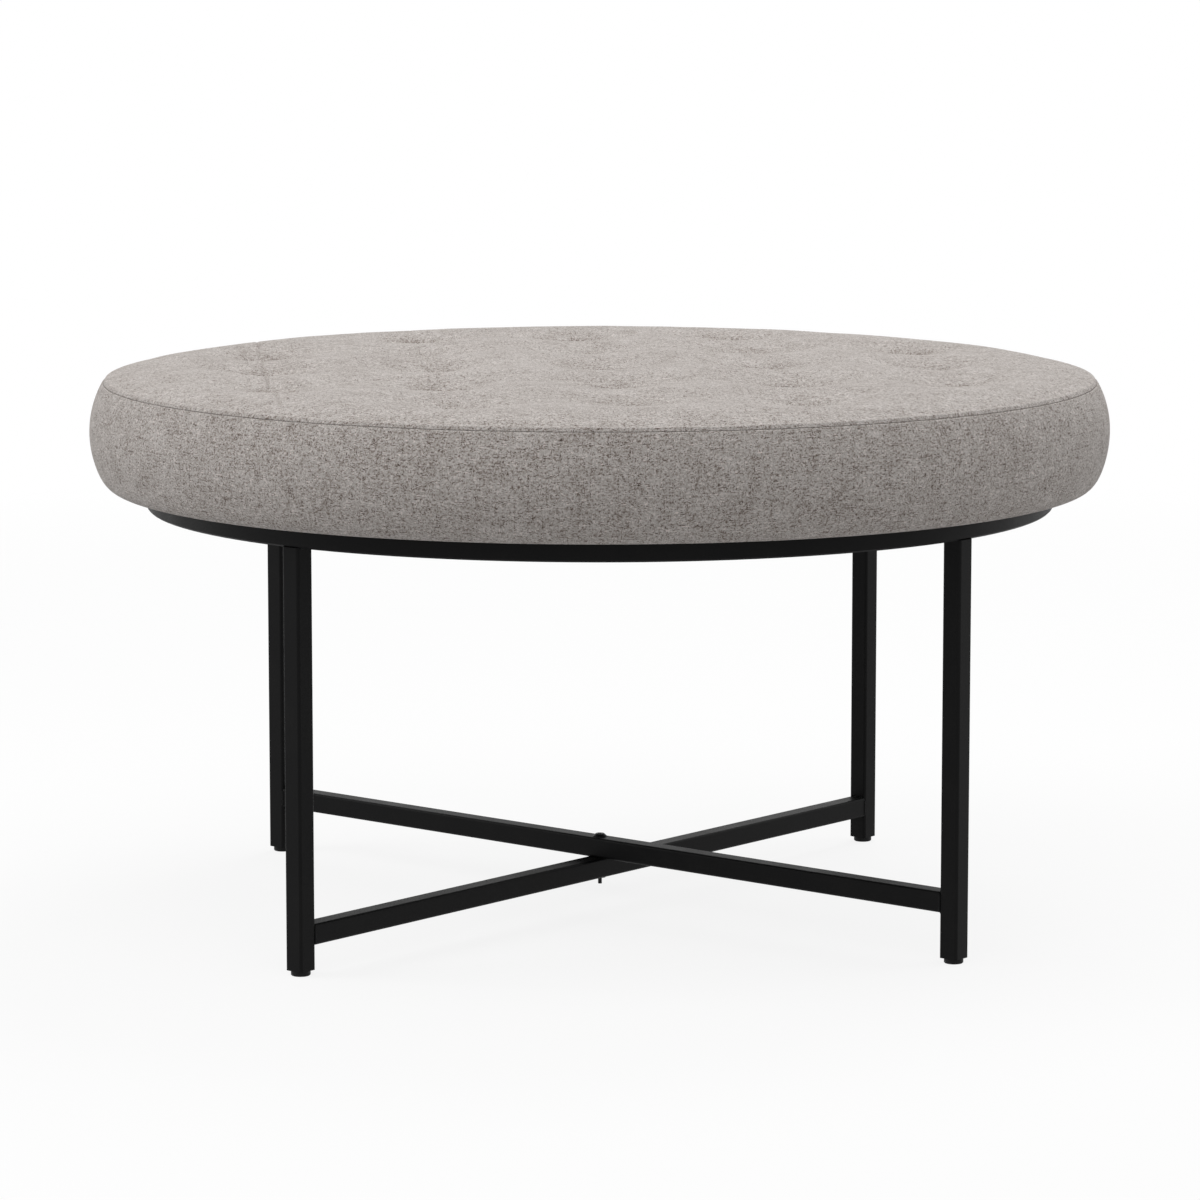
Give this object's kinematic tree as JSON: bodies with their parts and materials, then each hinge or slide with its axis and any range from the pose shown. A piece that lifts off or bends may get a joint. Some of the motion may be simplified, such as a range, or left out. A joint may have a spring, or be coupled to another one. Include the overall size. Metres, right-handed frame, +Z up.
{
  "type": "tufted ottoman",
  "caption": "Round tufted fabric ottoman on a black steel ring with square-tube legs, crossed stretchers and levelling feet.",
  "frame": {"origin": "on the floor, under the centre of the seat", "axes": "+Z is up; the rows of tufts run along X and Y; -Y is the front; the legs stand on the diagonals"},
  "size_m": [0.8992, 0.8992, 0.4879],
  "materials": {
    "frame_paint": "satin black powder coat",
    "black_hardware": "black oxide",
    "zinc": "zinc plated",
    "black_plastic": "moulded, matt",
    "plywood": "unfinished plywood",
    "foam": "open-cell foam",
    "cover_fabric": "woven, warm grey, heathered",
    "dust_fabric": "black spun-bonded cloth",
    "tie_cord": "twisted twine",
    "tie_toggle": "moulded, matt"
  },
  "bodies": {
    "ottoman": {"ring_frame": "frame_paint", "seat_lugs": "frame_paint", "leg_front_left": "frame_paint", "leg_front_right": "frame_paint", "leg_back_left": "frame_paint", "leg_back_right": "frame_paint", "leg_nut_blocks": "zinc", "leg_screws": "zinc", "lower_stretcher": "frame_paint", "upper_stretcher": "frame_paint", "cross_bolt": "black_hardware", "cross_nut": "black_hardware", "foot_plugs": "black_plastic", "seat_board": "plywood", "tee_nuts": "zinc", "seat_screws": "black_hardware", "seat_foam": "foam", "cover_top_panel": "cover_fabric", "cover_side_band": "cover_fabric", "dust_cloth": "dust_fabric", "tuft_ties": "tie_cord", "tuft_toggles": "tie_toggle"},
    "foot_front_left": {"foot_pad_front_left": "black_plastic", "foot_stem_front_left": "zinc"},
    "foot_front_right": {"foot_pad_front_right": "black_plastic", "foot_stem_front_right": "zinc"},
    "foot_back_left": {"foot_pad_back_left": "black_plastic", "foot_stem_back_left": "zinc"},
    "foot_back_right": {"foot_pad_back_right": "black_plastic", "foot_stem_back_right": "zinc"}
  },
  "joints": [
    {"name": "foot_front_left_height", "type": "slide", "parent": "ottoman", "child": "foot_front_left", "axis": [0, 0, -1], "range_m": [0, 0.008]},
    {"name": "foot_front_right_height", "type": "slide", "parent": "ottoman", "child": "foot_front_right", "axis": [0, 0, -1], "range_m": [0, 0.008]},
    {"name": "foot_back_left_height", "type": "slide", "parent": "ottoman", "child": "foot_back_left", "axis": [0, 0, -1], "range_m": [0, 0.008]},
    {"name": "foot_back_right_height", "type": "slide", "parent": "ottoman", "child": "foot_back_right", "axis": [0, 0, -1], "range_m": [0, 0.008]}
  ]
}
